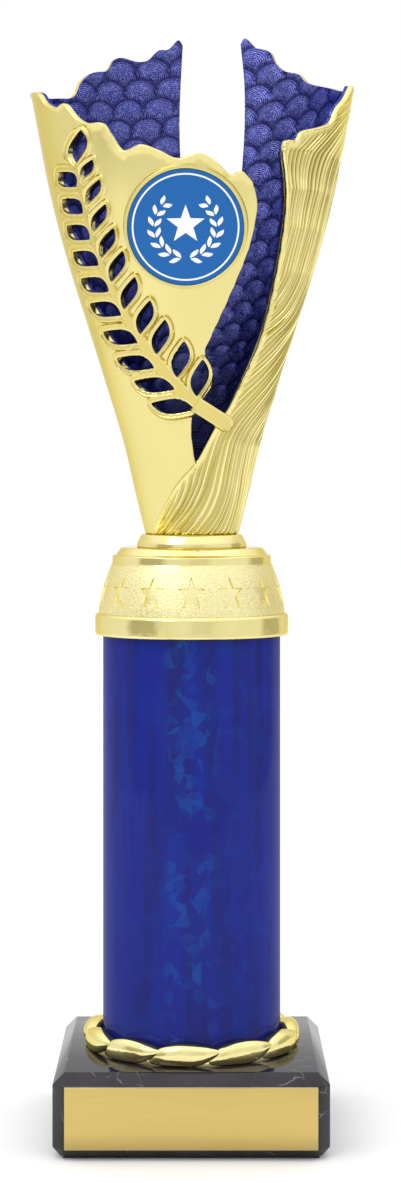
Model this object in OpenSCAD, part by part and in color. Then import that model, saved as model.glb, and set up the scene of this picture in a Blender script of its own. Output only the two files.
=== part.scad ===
// Column trophy: a two-tone cup on a star cap, a foil-wrapped column, a leaf ring and a marble base.
// Origin: centre of the underside. +Z is up, and the engraved side faces -Y.

/* [Base] */
// Width of the stone, left to right
base_w = 60; // [56:1:90]
// Depth of the stone, front to back
base_d = 60; // [56:1:90]
// Height from the table to the top of the stone
base_h = 18.5; // [16:0.5:30]
// Slope round the top face
top_bevel = 2.6; // [1:0.2:4]
// Chamfer round the bottom edge
bottom_bevel = 1.8; // [0.6:0.2:2.4]
// Chamfer on the four upright corners
corner_bevel = 2.2; // [1:0.2:4]
// Thickness of the felt under the stone
felt_t = 0.6; // [0.4:0.1:1]

/* [Engraving plate] */
// Width of the plate
plate_w = 54.6; // [40:0.2:55]
// Height of the plate
plate_h = 13.4; // [8:0.2:13.6]
// Thickness of the plate
plate_t = 0.6; // [0.4:0.1:1.2]

/* [Column] */
// Outside diameter of the wrapped column
column_d = 40.2; // [36:0.2:40.6]
// Visible height of the column, from the stone to the cap's rim
column_h = 92.8; // [60:0.2:260]
// Wall of the tube
tube_wall = 1.4; // [1:0.1:2.5]
// Thickness of the foil wrap
wrap_t = 0.2; // [0.1:0.05:0.4]

/* [Leaf ring] */
// Outside diameter of the ring
ring_d = 49; // [48:0.2:50]
// Height of the ring
ring_h = 4.8; // [4:0.2:6]
// Number of leaves round the ring
leaf_count = 11; // [8:1:14]

/* [Star cap] */
// Outside diameter of the rim
cap_d = 44; // [43.6:0.1:46]
// Number of stars round the band
star_count = 14; // [8:1:16]
// How deep a star is pressed into the band
star_depth = 0.4; // [0.2:0.05:0.6]

/* [Cup] */
// Wall of the gold shells
shell_wall = 1; // [0.8:0.1:1.2]
// Wall of the blue liner
liner_wall = 0.8; // [0.6:0.1:0.9]
// Diameter of the printed centre disc
disc_d = 25; // [20:0.5:25]
// Lean of the disc towards the table, in degrees
disc_tilt = 10; // [6:1:12]

/* [Fasteners] */
// Diameter of the tie rod
rod_d = 6; // [5:0.5:6]
// Height of a nut
nut_h = 5; // [4:0.5:5]
// Thickness of the flat washers
washer_t = 1.2; // [0.8:0.1:1.6]

/* [Hidden] */
$fn = 96;

tape_t = 0.2;
clearance = 0.25;
rod_r = rod_d / 2;
bore_r = rod_r + clearance;

// Stack of heights
floor_t = 1;
tube_z = base_h + floor_t;
rim_z = base_h + column_h;
seat_z = rim_z + 3.2;
cap_h = 19.7;
foot_z = rim_z + cap_h;
foot_h = 3;
cup_z = foot_z + foot_h;
spigot_h = 3;

// Well under the stone for the nut
well_r = 10;
well_depth = 9;
spring_t = 1.6;
base_washer_r = 9;
base_washer_z = well_depth - washer_t;
spring_z = base_washer_z - spring_t;
base_nut_z = spring_z - nut_h;
rod_z = 1.4;

// Cup fasteners
cup_washer_z = cup_z + spigot_h;
cup_nut_z = cup_washer_z + washer_t;
rod_top = cup_nut_z + nut_h + 1.8;
nut_r = 5.6;

// Radii down the stack
column_r = column_d / 2;
tube_r = column_r - wrap_t;
bore_of_tube = tube_r - tube_wall;
ring_r = ring_d / 2;
cap_r = cap_d / 2;
foot_r = 12.4;
foot_top_r = 11.4;

// Outside of the cup, as [radius, height above the foot]
CUP_SIDE = [[10.5, 0], [12.7, 9], [15.5, 21], [19.6, 34.5], [23.2, 46], [28.2, 62], [32.1, 77],
            [35.2, 93], [38, 108], [39.6, 118.5]];

// Edges of the shells seen from the front, as [across, height above the foot]
FRONT_RIM = [[-60, 99.5], [-36.4, 99.5], [-34.2, 98.2], [-32.4, 95.6], [-30, 94.1], [-27.8, 94.5],
             [-25, 91.2], [-22.6, 89.7], [-19.4, 89.4], [-17.6, 87], [-14.8, 83.4], [-10.8, 84.4],
             [-6.8, 83], [-2.9, 81.3], [1.7, 82.4], [5.4, 80.6], [8.6, 78], [11, 78.8], [13.2, 76.9],
             [14.4, 72.6], [13.8, 67.4], [12.1, 61.2], [8.1, 51.7], [4.5, 44], [3, 40.2], [4.4, 37],
             [4.7, 33.6], [3, 30.8], [0.2, 26], [0.1, 21], [0.9, 16]];
FRONT_SLOT = [[0.9, 16], [2.6, 19], [5.1, 23.6], [8, 27.7], [11.5, 34.6], [15.3, 43], [17.8, 52],
              [20, 64], [20.9, 74], [19.9, 83.4]];
WAVE_RIM = [[19.9, 83.4], [20.6, 85.8], [23, 86.2], [24.4, 88.2], [28.2, 89.6], [31, 91.2],
            [32.6, 94.6], [34.6, 97.4], [36.2, 100.8], [60, 100.8]];
FRONT_SEAM = [[-8.6, 0], [-7.4, 3.8], [-5.2, 8], [-3.1, 11.6], [0.9, 16]];

// Edges of the shells behind, as [across, height above the foot]
BACK_RIM_LEFT = [[-60, 99.5], [-36.6, 99.6], [-33, 101], [-28.8, 102.4], [-27, 106.4], [-24.4, 109],
                 [-21, 109.9], [-19.4, 112.6], [-17.6, 113.3], [-13.8, 112.6], [-11, 113.2],
                 [-8.6, 115.6], [-6, 116], [-3.6, 118.3], [-2.4, 117]];
BACK_SLOT_LEFT = [[-2.4, 117], [-3.2, 98], [-2.4, 82], [0, 66], [4.4, 52]];
BACK_SLOT_RIGHT = [[4.4, 52], [8.4, 62], [11.4, 76], [13, 92], [13.2, 106], [12.2, 117]];
BACK_RIM_RIGHT = [[12.2, 117], [13.4, 118.4], [15.8, 116], [19, 114.8], [20.8, 111.4], [22.8, 109.6],
                  [26, 108.4], [28, 106], [33, 103.6], [36.6, 101], [60, 100.8]];
BACK_SEAM = [[0, 0], [1.4, 16], [2.6, 34], [4.4, 52]];

// Laurel wreath seen from the front: the middles of its openings, from the tip of the wreath down
TIP_LEAF = [-24.7, 84.8];
LEFT_LEAVES = [[-27.1, 78.4], [-26.1, 72.6], [-24.8, 66.9], [-23.2, 61.2], [-21.2, 55.4],
               [-18.8, 50], [-15.5, 43.8], [-12.2, 38.1], [-8.1, 33.2], [-3.2, 28.3]];
RIGHT_LEAVES = [[-22.6, 79.9], [-21.3, 75.1], [-20, 69.5], [-18.3, 64.1], [-16.1, 59],
                [-13.4, 53.2], [-10, 47.9], [-6.6, 43.6], [-2.3, 38.7], [1.8, 34.7]];
leaf_fullness = 0.463;
stem_end = [7.2, 24.9];
stem_start = [0.6, 29.2];
stem_w = 3.8;
stem_rise = 0.8;

disc_x = -1.2;
disc_h = 66.7;
disc_face = 31;
holder_r = 13.3;
holder_depth = 14;
recess = 1.2;
disc_t = 0.8;

half = 60;
sides_32 = 32;

// Point at t between p1 and p2 on a smooth curve through four points
function blend_point(p0, p1, p2, p3, t) =
    0.5 * (2 * p1 + (p2 - p0) * t + (2 * p0 - 5 * p1 + 4 * p2 - p3) * t * t
           + (3 * p1 - p0 - 3 * p2 + p3) * t * t * t);

// Smooth curve through every point of k, with n steps a span
function curve(k, n) = concat(
    [for (i = [0:len(k) - 2], j = [0:n - 1])
        blend_point(k[max(i - 1, 0)], k[i], k[i + 1], k[min(i + 2, len(k) - 1)], j / n)],
    [k[len(k) - 1]]);

function backwards(k) = [for (i = [len(k) - 1:-1:0]) k[i]];

function inset(k, d) = [for (p = k) [p[0] - d, p[1]]];

// Layer of the cup's wall between two depths below its outside
module cup_layer(outer, inner) {
    side = curve(CUP_SIDE, 2);
    translate([0, 0, cup_z])
        rotate_extrude()
            polygon(concat(inset(side, outer), backwards(inset(side, inner))));
}

// Outline standing across the cup, run through its front or its back half
module front_prism() {
    translate([0, 0, cup_z]) rotate([90, 0, 0]) linear_extrude(half) children();
}

module back_prism() {
    translate([0, half, cup_z]) rotate([90, 0, 0]) linear_extrude(half) children();
}

// Radius of the outside of the cup at a height above its foot
function cup_radius(h) = lookup(h, [for (p = CUP_SIDE) [p[1], p[0]]]);

// Leaf opening round its own middle, leaning by an angle and narrowed by the turn of the cup
module leaf(middle, length, width, lean) {
    turned = sqrt(1 - pow(middle[0] / cup_radius(middle[1]), 2));
    translate(middle)
        scale([turned, 1])
            rotate(lean)
                polygon([for (q = [0:22.5:337.5])
                    let (t = (1 - cos(q)) / 2, side = q < 180 ? 0.5 : -0.5)
                    [side * width * pow(t, 0.5) * pow(1 - t, 0.62) / leaf_fullness,
                     length * (t - 0.5)]]);
}

// Openings of the wreath: one leaf at the tip, and pairs down the stem
module wreath_openings() {
    leaf(TIP_LEAF, 6.4, 4.8, -17);
    last = len(LEFT_LEAVES) - 1;
    for (i = [0:last]) {
        u = i / last;
        leaf(LEFT_LEAVES[i], 7.2 + 1.3 * u, 2.9, 74 + 11 * u);
        leaf(RIGHT_LEAVES[i], 5 + 2.2 * sqrt(u), 2.9 + 0.5 * u, -48 + 42 * u);
    }
}

// Bar from the stem's foot across the slot, with a round far end
module stem_tab() {
    run = stem_end - stem_start;
    r = stem_w / 2;
    translate(stem_start)
        rotate(atan2(run[1], run[0]))
            polygon(concat([[0, r], [0, -r]],
                           [for (a = [-90:15:90]) [norm(run) + r * cos(a), r * sin(a)]]));
}

module smooth_front() {
    polygon(concat([[-half, 0]], curve(FRONT_RIM, 3), backwards(curve(FRONT_SEAM, 3))));
}

module smooth_back() {
    polygon(concat([[-half, 0]], curve(BACK_RIM_LEFT, 3), curve(BACK_SLOT_LEFT, 3),
                   backwards(curve(BACK_SEAM, 2))));
}

module wave_front() {
    polygon(concat(curve(FRONT_SEAM, 3), curve(FRONT_SLOT, 3), curve(WAVE_RIM, 3), [[half, 0]]));
}

module wave_back() {
    polygon(concat(curve(BACK_SEAM, 2), curve(BACK_SLOT_RIGHT, 3), curve(BACK_RIM_RIGHT, 3),
                   [[half, 0]]));
}

module block(size_x, size_y, z0, z1) {
    translate([-size_x / 2, -size_y / 2, z0]) cube([size_x, size_y, z1 - z0]);
}

// Flat ring or disc with a hole, between two heights
module disc(r, hole, z0, z1) {
    difference() {
        translate([0, 0, z0]) cylinder(r = r, h = z1 - z0);
        translate([0, 0, z0 - 1]) cylinder(r = hole, h = z1 - z0 + 2);
    }
}

module hex_nut(z0) {
    difference() {
        translate([0, 0, z0]) cylinder(r = nut_r, h = nut_h, $fn = 6);
        translate([0, 0, z0 - 1]) cylinder(r = rod_r, h = nut_h + 2);
    }
}

// Rectangle of the stone's plan with its corners cut off
module stone_plan(cut) {
    x = base_w / 2;
    y = base_d / 2;
    polygon([[x - cut, -y], [x, cut - y], [x, y - cut], [x - cut, y],
             [cut - x, y], [-x, y - cut], [-x, cut - y], [cut - x, -y]]);
}

module marble_base() {
    color([0.16, 0.15, 0.17])
        difference() {
            hull() {
                block(base_w - 2 * top_bevel, base_d - 2 * top_bevel, base_h - 0.01, base_h);
                translate([0, 0, felt_t + bottom_bevel])
                    linear_extrude(base_h - top_bevel - bottom_bevel - felt_t)
                        stone_plan(corner_bevel);
                block(base_w - 2 * bottom_bevel, base_d - 2 * bottom_bevel, felt_t, felt_t + 0.01);
            }
            translate([0, 0, -1]) cylinder(r = bore_r, h = base_h + 2);
            translate([0, 0, -1]) cylinder(r = well_r, h = well_depth + 1);
        }
}

// Felt sheet glued over the whole underside, which closes the nut's well
module base_felt() {
    margin = 2 * bottom_bevel + 1;
    color([0.1, 0.1, 0.1]) block(base_w - margin, base_d - margin, 0, felt_t);
}

plate_z = (felt_t + bottom_bevel + base_h - top_bevel) / 2;

// Sheet of the plate's outline standing off the front of the stone
module front_sheet(gap, t) {
    translate([-plate_w / 2, -base_d / 2 - gap - t, plate_z - plate_h / 2])
        cube([plate_w, t, plate_h]);
}

module engraving_plate() {
    color([0.84, 0.74, 0.44]) front_sheet(tape_t, plate_t);
}

module plate_tape() {
    color([0.9, 0.9, 0.86]) front_sheet(0, tape_t);
}

module tie_rod() {
    color([0.75, 0.76, 0.78]) translate([0, 0, rod_z]) cylinder(r = rod_r, h = rod_top - rod_z);
}

module base_nut() {
    color([0.75, 0.76, 0.78]) hex_nut(base_nut_z);
}

module base_spring_washer() {
    color([0.6, 0.61, 0.63]) disc(nut_r, bore_r, spring_z, base_washer_z);
}

module base_washer() {
    color([0.75, 0.76, 0.78]) disc(base_washer_r, bore_r, base_washer_z, well_depth);
}

// Collar with a floor that the tube stands on, and leaves lapped round it
module rope_ring() {
    wall_r = column_r + 0.3;
    bead_r = (ring_r - wall_r) / 2;
    mid_r = wall_r + bead_r;
    step = 360 / leaf_count;
    color([0.93, 0.83, 0.45]) {
        disc(ring_r - bead_r, bore_r, base_h, tube_z);
        difference() {
            rotate_extrude() {
                translate([mid_r, base_h + ring_h - bead_r - 0.5]) circle(bead_r - 0.2);
                translate([wall_r, base_h]) square([2 * bead_r - 0.2, ring_h - bead_r - 0.5]);
            }
            translate([0, 0, tube_z]) cylinder(r = wall_r, h = ring_h);
        }
        for (i = [0:leaf_count - 1])
            rotate(i * step)
                rotate_extrude(angle = 0.6 * step)
                    translate([mid_r, base_h + ring_h - bead_r]) circle(bead_r);
    }
}

module lower_plug() {
    color([0.2, 0.2, 0.22]) {
        disc(bore_of_tube, bore_r, tube_z, tube_z + 3);
        disc(9, bore_r, tube_z + 3, tube_z + 8);
    }
}

module column_tube() {
    color([0.88, 0.88, 0.9]) disc(tube_r, bore_of_tube, tube_z, seat_z);
}

module column_wrap() {
    color([0.1, 0.15, 0.6]) disc(column_r, tube_r, tube_z, seat_z);
}

module upper_plug() {
    color([0.2, 0.2, 0.22]) {
        disc(bore_of_tube, bore_r, seat_z - 3, seat_z);
        disc(9, bore_r, seat_z - 8, seat_z - 3);
    }
}

// Five-pointed star drawn out upwards by a factor
module star(r, tall) {
    polygon([for (i = [0:9])
        let (a = 90 + 36 * i, k = i % 2 == 0 ? r : 0.42 * r)
            [k * cos(a), tall * k * sin(a)]]);
}

module star_cap() {
    wall = 1.6;
    skirt_r = column_r + 0.15;
    band_low = [cap_r - 0.9, 4.9];
    band_high = [18.2, 15.8];
    star_face = 20.2;
    slope = atan2(band_low[0] - band_high[0], band_high[1] - band_low[1]);
    color([0.95, 0.85, 0.5])
        difference() {
            translate([0, 0, rim_z])
                rotate_extrude()
                    polygon([[0, 0], [cap_r - 0.4, 0], [cap_r, 0.4], [cap_r - 0.1, 4.3],
                             [cap_r - 0.4, 4.8], band_low, [cap_r - 1.1, 7], [19.7, 12], band_high,
                             [17.9, 16.2], [17.2, 18], [17, 18.3], [15.7, cap_h], [0, cap_h]]);
            for (i = [0:star_count - 1])
                rotate(i * 360 / star_count)
                    translate([0, star_depth - star_face, rim_z + 10])
                        rotate([90 - slope, 0, 0])
                            linear_extrude(2) star(2.9, 1.3);
            translate([0, 0, rim_z - 1]) cylinder(r = skirt_r, h = seat_z - rim_z + 1);
            translate([0, 0, rim_z - 1]) cylinder(r = 17, h = 8);
            translate([0, 0, rim_z]) cylinder(r1 = 17.4, r2 = 15.4, h = 17);
            translate([0, 0, rim_z]) cylinder(r = bore_r, h = cap_h + 1);
        }
    color([0.95, 0.85, 0.5])
        disc(7, bore_r, seat_z, foot_z - wall);
}

module cup_foot() {
    color([0.95, 0.86, 0.52])
        difference() {
            union() {
                translate([0, 0, foot_z])
                    rotate_extrude()
                        polygon([[0, 0], [foot_r, 0], [foot_r, 0.5], [foot_top_r + 0.1, foot_h - 0.3],
                                 [foot_top_r - 0.3, foot_h], [0, foot_h]]);
                translate([0, 0, cup_z])
                    cylinder(r = CUP_SIDE[0][0] - shell_wall - liner_wall - 0.1, h = spigot_h);
            }
            translate([0, 0, foot_z - 1]) cylinder(r = bore_r, h = foot_h + spigot_h + 2);
        }
}

// Stem of the wreath where it crosses the slot and lies on the wave shell
module stem_bridge() {
    intersection() {
        cup_layer(-stem_rise, 0);
        front_prism() stem_tab();
    }
}

module smooth_shell() {
    color([0.94, 0.87, 0.56]) {
        difference() {
            intersection() {
                cup_layer(0, shell_wall);
                union() {
                    front_prism() {
                        smooth_front();
                        difference() {
                            stem_tab();
                            wave_front();
                        }
                    }
                    back_prism() smooth_back();
                }
            }
            front_prism() wreath_openings();
        }
        stem_bridge();
    }
}

module wave_shell() {
    color([0.93, 0.85, 0.55])
        intersection() {
            cup_layer(0, shell_wall);
            union() {
                front_prism() wave_front();
                back_prism() wave_back();
            }
        }
}

module cup_liner() {
    color([0.2, 0.21, 0.55])
        difference() {
            intersection() {
                cup_layer(shell_wall, shell_wall + liner_wall);
                union() {
                    front_prism() smooth_front();
                    front_prism() wave_front();
                    back_prism() smooth_back();
                    back_prism() wave_back();
                }
            }
            front_prism() wreath_openings();
        }
}

module cup_washer() {
    color([0.75, 0.76, 0.78]) disc(nut_r + 0.6, bore_r, cup_washer_z, cup_nut_z);
}

module cup_nut() {
    color([0.75, 0.76, 0.78]) hex_nut(cup_nut_z);
}

// Frame of the disc: its own +Z is the way the print faces
module on_disc_axis() {
    translate([disc_x, -disc_face, cup_z + disc_h]) rotate([90 + disc_tilt, 0, 0]) children();
}

module disc_holder() {
    color([0.93, 0.84, 0.5])
        difference() {
            on_disc_axis() translate([0, 0, -holder_depth]) cylinder(r = holder_r, h = holder_depth);
            on_disc_axis() translate([0, 0, -recess]) cylinder(r = disc_d / 2, h = recess + 1);
            translate([0, 0, cup_z])
                rotate_extrude()
                    polygon(concat([[0, 0]], curve(CUP_SIDE, 2), [[0, 118.5]]));
        }
}

module disc_tape() {
    color([0.9, 0.9, 0.86])
        on_disc_axis() translate([0, 0, -recess]) cylinder(r = disc_d / 2 - 1, h = tape_t);
}

module centre_disc() {
    color([0.16, 0.42, 0.7])
        on_disc_axis() translate([0, 0, tape_t - recess]) cylinder(r = disc_d / 2, h = disc_t);
}

marble_base();
base_felt();
engraving_plate();
plate_tape();
tie_rod();
base_nut();
base_spring_washer();
base_washer();
rope_ring();
lower_plug();
column_tube();
column_wrap();
upper_plug();
star_cap();
cup_foot();
smooth_shell();
wave_shell();
cup_liner();
cup_washer();
cup_nut();
disc_holder();
disc_tape();
centre_disc();
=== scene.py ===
"""Column trophy: a two-tone cup on a star cap, a foil-wrapped column, a leaf ring and a marble base.

Shapes are worked out in millimetres and turned into metres as each mesh is made. Azimuth 0 is the
front of the trophy, facing -Y, and grows towards +X.
"""

import math

import bpy
import bmesh
import numpy as np
from mathutils import Matrix, Vector
from mathutils.geometry import delaunay_2d_cdt
from mathutils.kdtree import KDTree


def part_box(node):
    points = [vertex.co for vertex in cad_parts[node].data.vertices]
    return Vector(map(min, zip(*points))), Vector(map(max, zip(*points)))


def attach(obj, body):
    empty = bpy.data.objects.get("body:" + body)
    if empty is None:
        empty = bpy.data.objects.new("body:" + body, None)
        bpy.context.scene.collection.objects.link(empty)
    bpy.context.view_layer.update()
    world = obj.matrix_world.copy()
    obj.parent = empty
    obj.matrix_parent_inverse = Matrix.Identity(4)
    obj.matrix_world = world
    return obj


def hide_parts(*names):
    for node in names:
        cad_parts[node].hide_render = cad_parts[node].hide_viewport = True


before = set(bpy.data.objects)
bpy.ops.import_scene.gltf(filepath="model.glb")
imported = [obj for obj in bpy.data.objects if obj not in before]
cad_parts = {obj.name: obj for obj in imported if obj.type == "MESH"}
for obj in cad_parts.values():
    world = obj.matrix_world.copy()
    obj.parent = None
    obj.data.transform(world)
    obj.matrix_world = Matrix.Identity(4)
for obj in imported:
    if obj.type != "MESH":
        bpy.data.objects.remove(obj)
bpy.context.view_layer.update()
scene = bpy.context.scene
MM = 0.001
pi = math.pi
cat = np.concatenate


def low(node, axis=2):
    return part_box(node)[0][axis] / MM


def high(node, axis=2):
    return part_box(node)[1][axis] / MM


# ------ sizes taken from the frame
stone_half = high("marble_base", 0)
stone_low = low("marble_base")
stone_top = high("marble_base")
column_r = high("column_wrap", 0)
rim_z = low("star_cap")
foot_z = low("cup_foot")
cup_z = low("smooth_shell")
shell_wall = 1.0
liner_wall = 0.8
disc_r = (high("centre_disc", 0) - low("centre_disc", 0)) / 2
holder_r = (high("disc_holder", 0) - low("disc_holder", 0)) / 2
disc_x = (high("disc_holder", 0) + low("disc_holder", 0)) / 2

# ------ outlines of the cup
# Outside of the cup, as [radius, height above the foot]
CUP_SIDE = [[10.5, 0], [12.7, 9], [15.5, 21], [19.6, 34.5], [23.2, 46], [28.2, 62], [32.1, 77],
            [35.2, 93], [38, 108], [39.6, 118.5]]
# Edges of the two shells, as [across, height above the foot]
FRONT_RIM = [[-36.4, 99.5], [-34.2, 98.2], [-32.4, 95.6], [-30, 94.1], [-27.8, 94.5],
             [-25, 91.2], [-22.6, 89.7], [-19.4, 89.4], [-17.6, 87], [-14.8, 83.4], [-10.8, 84.4],
             [-6.8, 83], [-2.9, 81.3], [1.7, 82.4], [5.4, 80.6], [8.6, 78], [11, 78.8], [13.2, 76.9]]
SLOT_LEFT = [[13.2, 76.9], [14.4, 72.6], [13.8, 67.4], [12.1, 61.2], [8.1, 51.7], [4.5, 44],
             [3, 40.2], [4.4, 37], [4.7, 33.6], [3, 30.8], [0.2, 26], [0.1, 21], [0.9, 16]]
SLOT_RIGHT = [[0.9, 16], [2.6, 19], [5.1, 23.6], [8, 27.7], [11.5, 34.6], [15.3, 43], [17.8, 52],
              [20, 64], [20.9, 74], [19.9, 83.4]]
WAVE_RIM = [[19.9, 83.4], [20.6, 85.8], [23, 86.2], [24.4, 88.2], [28.2, 89.6], [31, 91.2],
            [32.6, 94.6], [34.6, 97.4], [36.2, 100.8]]
FRONT_SEAM = [[-8.6, 0], [-7.4, 3.8], [-5.2, 8], [-3.1, 11.6], [0.9, 16]]
BACK_RIM_LEFT = [[-36.6, 99.6], [-33, 101], [-28.8, 102.4], [-27, 106.4], [-24.4, 109],
                 [-21, 109.9], [-19.4, 112.6], [-17.6, 113.3], [-13.8, 112.6], [-11, 113.2],
                 [-8.6, 115.6], [-6, 116], [-3.6, 118.3], [-2.4, 117]]
BACK_SLOT_LEFT = [[-2.4, 117], [-3.2, 98], [-2.4, 82], [0, 66], [4.4, 52]]
BACK_SLOT_RIGHT = [[4.4, 52], [8.4, 62], [11.4, 76], [13, 92], [13.2, 106], [12.2, 117]]
BACK_RIM_RIGHT = [[12.2, 117], [13.4, 118.4], [15.8, 116], [19, 114.8], [20.8, 111.4],
                  [22.8, 109.6], [26, 108.4], [28, 106], [33, 103.6], [36.6, 101]]
BACK_SEAM = [[0, 0], [1.4, 16], [2.6, 34], [4.4, 52]]
# Laurel wreath seen from the front: its stem, and the middles of its openings from the tip down
STEM = [[-25, 82], [-24.3, 77], [-21.8, 66.2], [-17.6, 54.8], [-11.5, 43.5], [-3.2, 32.6], [2.4, 28]]
TIP_LEAF = [-24.7, 84.8]
LEFT_LEAVES = [[-27.1, 78.4], [-26.1, 72.6], [-24.8, 66.9], [-23.2, 61.2], [-21.2, 55.4],
               [-18.8, 50], [-15.5, 43.8], [-12.2, 38.1], [-8.1, 33.2], [-4.1, 28.5]]
RIGHT_LEAVES = [[-22.6, 79.9], [-21.3, 75.1], [-20, 69.5], [-18.3, 64.1], [-16.1, 59],
                [-13.4, 53.2], [-10, 47.9], [-6.6, 43.6], [-2.3, 38.7], [1.8, 34.7]]
STEM_BAR = [[0.6, 29.2], [7.2, 24.9]]
stem_half = 1.9

# Height below which points are laid between the edges
cup_top = 118

# Disc: height of its middle above the cup's foot, how far forward its holder's face is, its tilt, the
# depth of its recess, the tape's gap and its own thickness
disc_h = 66.7
disc_face = 31
disc_tilt = math.radians(10)
disc_recess = 1.2
disc_gap = 0.2
disc_t = 0.8


# ------ plain geometry
def curve(knots, steps):
    """Smooth curve through every knot, with so many steps a span."""
    k = np.array(knots, float)
    last = len(k) - 1
    points = []
    for i in range(last):
        p0, p1, p2, p3 = k[max(i - 1, 0)], k[i], k[i + 1], k[min(i + 2, last)]
        for t in np.arange(steps) / steps:
            points.append(0.5 * (2 * p1 + (p2 - p0) * t + (2 * p0 - 5 * p1 + 4 * p2 - p3) * t**2
                                 + (3 * p1 - p0 - 3 * p2 + p3) * t**3))
    points.append(k[last])
    return np.array(points)


def ramp(x, start, end):
    """0 before start, 1 after end, smooth between."""
    t = np.clip((np.asarray(x, float) - start) / (end - start), 0, 1)
    return t * t * (3 - 2 * t)


def bump(x, centre, half_width):
    """Smooth hill of height 1 round a centre."""
    t = np.clip(np.abs(np.asarray(x, float) - centre) / half_width, 0, 1)
    return (1 - t * t) ** 2


def round_over(distance, r):
    """How far a rounded edge falls below the surface at a distance from the edge."""
    t = np.clip(r - np.asarray(distance, float), 0, r)
    return r - np.sqrt(np.maximum(r * r - t * t, 0))


def fillet(corners, radii, steps=4):
    """Closed outline with each corner rounded by its own radius."""
    k = np.array(corners, float)
    points = []
    for i, r in enumerate(radii):
        here, before, after = k[i], k[i - 1], k[(i + 1) % len(k)]
        a, b = before - here, after - here
        la, lb = np.linalg.norm(a), np.linalg.norm(b)
        cut = min(r, 0.48 * la, 0.48 * lb)
        if cut < 1e-4:
            points.append(here)
            continue
        start, end = here + a / la * cut, here + b / lb * cut
        for t in np.linspace(0, 1, steps + 1):
            points.append((1 - t) ** 2 * start + 2 * t * (1 - t) * here + t * t * end)
    return np.array(points)


def turns(count):
    """Evenly spaced azimuths all the way round."""
    return np.arange(count) * 2 * pi / count


def points_of(*coordinates):
    """Points from their coordinates, of which some may be the same for all."""
    return np.stack(np.broadcast_arrays(*coordinates), -1)


def polar(a, r, z):
    """Points at an azimuth, a radius and a height."""
    return points_of(r * np.sin(a), -r * np.cos(a), z)


def quads(rows, columns, bands):
    """Faces between closed rows of points, from each of so many rows to the next."""
    return [(i * columns + j, i * columns + (j + 1) % columns,
             (i + 1) % rows * columns + (j + 1) % columns, (i + 1) % rows * columns + j)
            for i in range(bands) for j in range(columns)]


def rings(rows):
    """Surface through closed rows of points, left open at the first and the last."""
    return cat(rows), quads(len(rows), len(rows[0]), len(rows) - 1)


def lathe(outline, count, swell=None):
    """Closed outline of [radius, height] turned all the way round."""
    turn = turns(count)[:, None]
    r = outline[:, 0] + (swell(turn) if swell else 0)
    return cat(polar(turn, r, outline[:, 1])), quads(count, len(outline), count)


def join(*parts):
    """One list of points and one of faces from several."""
    points, faces, start = [], [], 0
    for p, f in parts:
        points.append(p)
        faces += [tuple(i + start for i in face) for face in f]
        start += len(p)
    return cat(points), faces


def tree_of(points):
    tree = KDTree(len(points))
    for i, p in enumerate(points):
        tree.insert(p, i)
    tree.balance()
    return tree


def path_length(points):
    """Distance along a line of points to each of them."""
    return cat([[0], np.cumsum(np.linalg.norm(np.diff(points, axis=0), axis=1))])


def flat_3d(points, z=0.0):
    """Points of a plane, with their third coordinate."""
    return np.pad(points, ((0, 0), (0, 1)), constant_values=z)


def grid_2d(x, y):
    """Every pair of an x and a y, as points."""
    return points_of(*(k.ravel() for k in np.meshgrid(x, y)))


def distance(points, tree):
    return np.array([tree.find(p)[2] for p in points])


def inside(points, loop):
    """Which points lie inside a closed outline."""
    result = np.zeros(len(points), bool)
    x0, y0 = loop[:, 0], loop[:, 1]
    x1, y1 = np.roll(x0, -1), np.roll(y0, -1)
    near = np.all((points >= loop.min(0)) & (points <= loop.max(0)), 1).nonzero()[0]
    slope = (x1 - x0) / np.where(y1 == y0, 1e-12, y1 - y0)
    for part in np.array_split(near, max(1, len(near) // 4000)):
        x, y = points[part, 0][:, None], points[part, 1][:, None]
        crosses = ((y0 > y) != (y1 > y)) & (x < (y - y0) * slope + x0)
        result[part] = crosses.sum(1) % 2 == 1
    return result


def within(points, loops):
    """Which points lie inside the first outline and outside the others."""
    return inside(points, loops[0]) & ~np.any([inside(points, loop) for loop in loops[1:]], 0)


def loop_edges(loops):
    """Edges round several outlines whose points are in one list."""
    edges, start = [], 0
    for loop in loops:
        n = len(loop)
        edges += [(start + i, start + (i + 1) % n) for i in range(n)]
        start += n
    return edges


def triangles(loops, extra, tolerance=1e-9):
    """Triangles over outlines and other points, as indices of the outlines' points and then the others."""
    points = cat([*loops, extra])
    out = delaunay_2d_cdt([Vector(p) for p in points], loop_edges(loops), [], 0, tolerance, True)
    if len(out[0]) != len(points):
        raise ValueError("two points of an outline fell together")
    return np.array(out[2])


def triangulate(loops, extra):
    """Triangles that fill the first outline less the others."""
    faces = triangles(loops, extra)
    return faces[within(cat([*loops, extra])[faces].mean(1), loops)]


# ------ the cup's own surface
SIDE = curve(CUP_SIDE, 24)
SIDE_S = path_length(SIDE)
SIDE_V = cat([[0], np.cumsum(np.diff(SIDE_S) / (SIDE[1:, 0] + SIDE[:-1, 0]) * 2)])


def radius(h):
    return np.interp(h, SIDE[:, 1], SIDE[:, 0])


def along(h):
    """Distance up the cup's side to a height."""
    return np.interp(h, SIDE[:, 1], SIDE_S)


def height_at(s):
    """Height reached so far up the cup's side."""
    return np.interp(s, SIDE_S, SIDE[:, 1])


def on_cup(ah, out=0.0):
    """Points of the cup from [azimuth, height above the foot], so far outside its surface."""
    return polar(ah[:, 0], radius(ah[:, 1]) + out, cup_z + ah[:, 1])


def conformal(ah):
    """The cup's surface laid flat without changing angles."""
    return points_of(ah[:, 0], np.interp(ah[:, 1], SIDE[:, 1], SIDE_V))


def front(xh):
    """Points across the front, from [across, height] to [azimuth, height]."""
    return points_of(np.arcsin(np.clip(xh[:, 0] / radius(xh[:, 1]), -1, 1)), xh[:, 1])


def front_line(knots):
    return front(curve(knots, 24))


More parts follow.
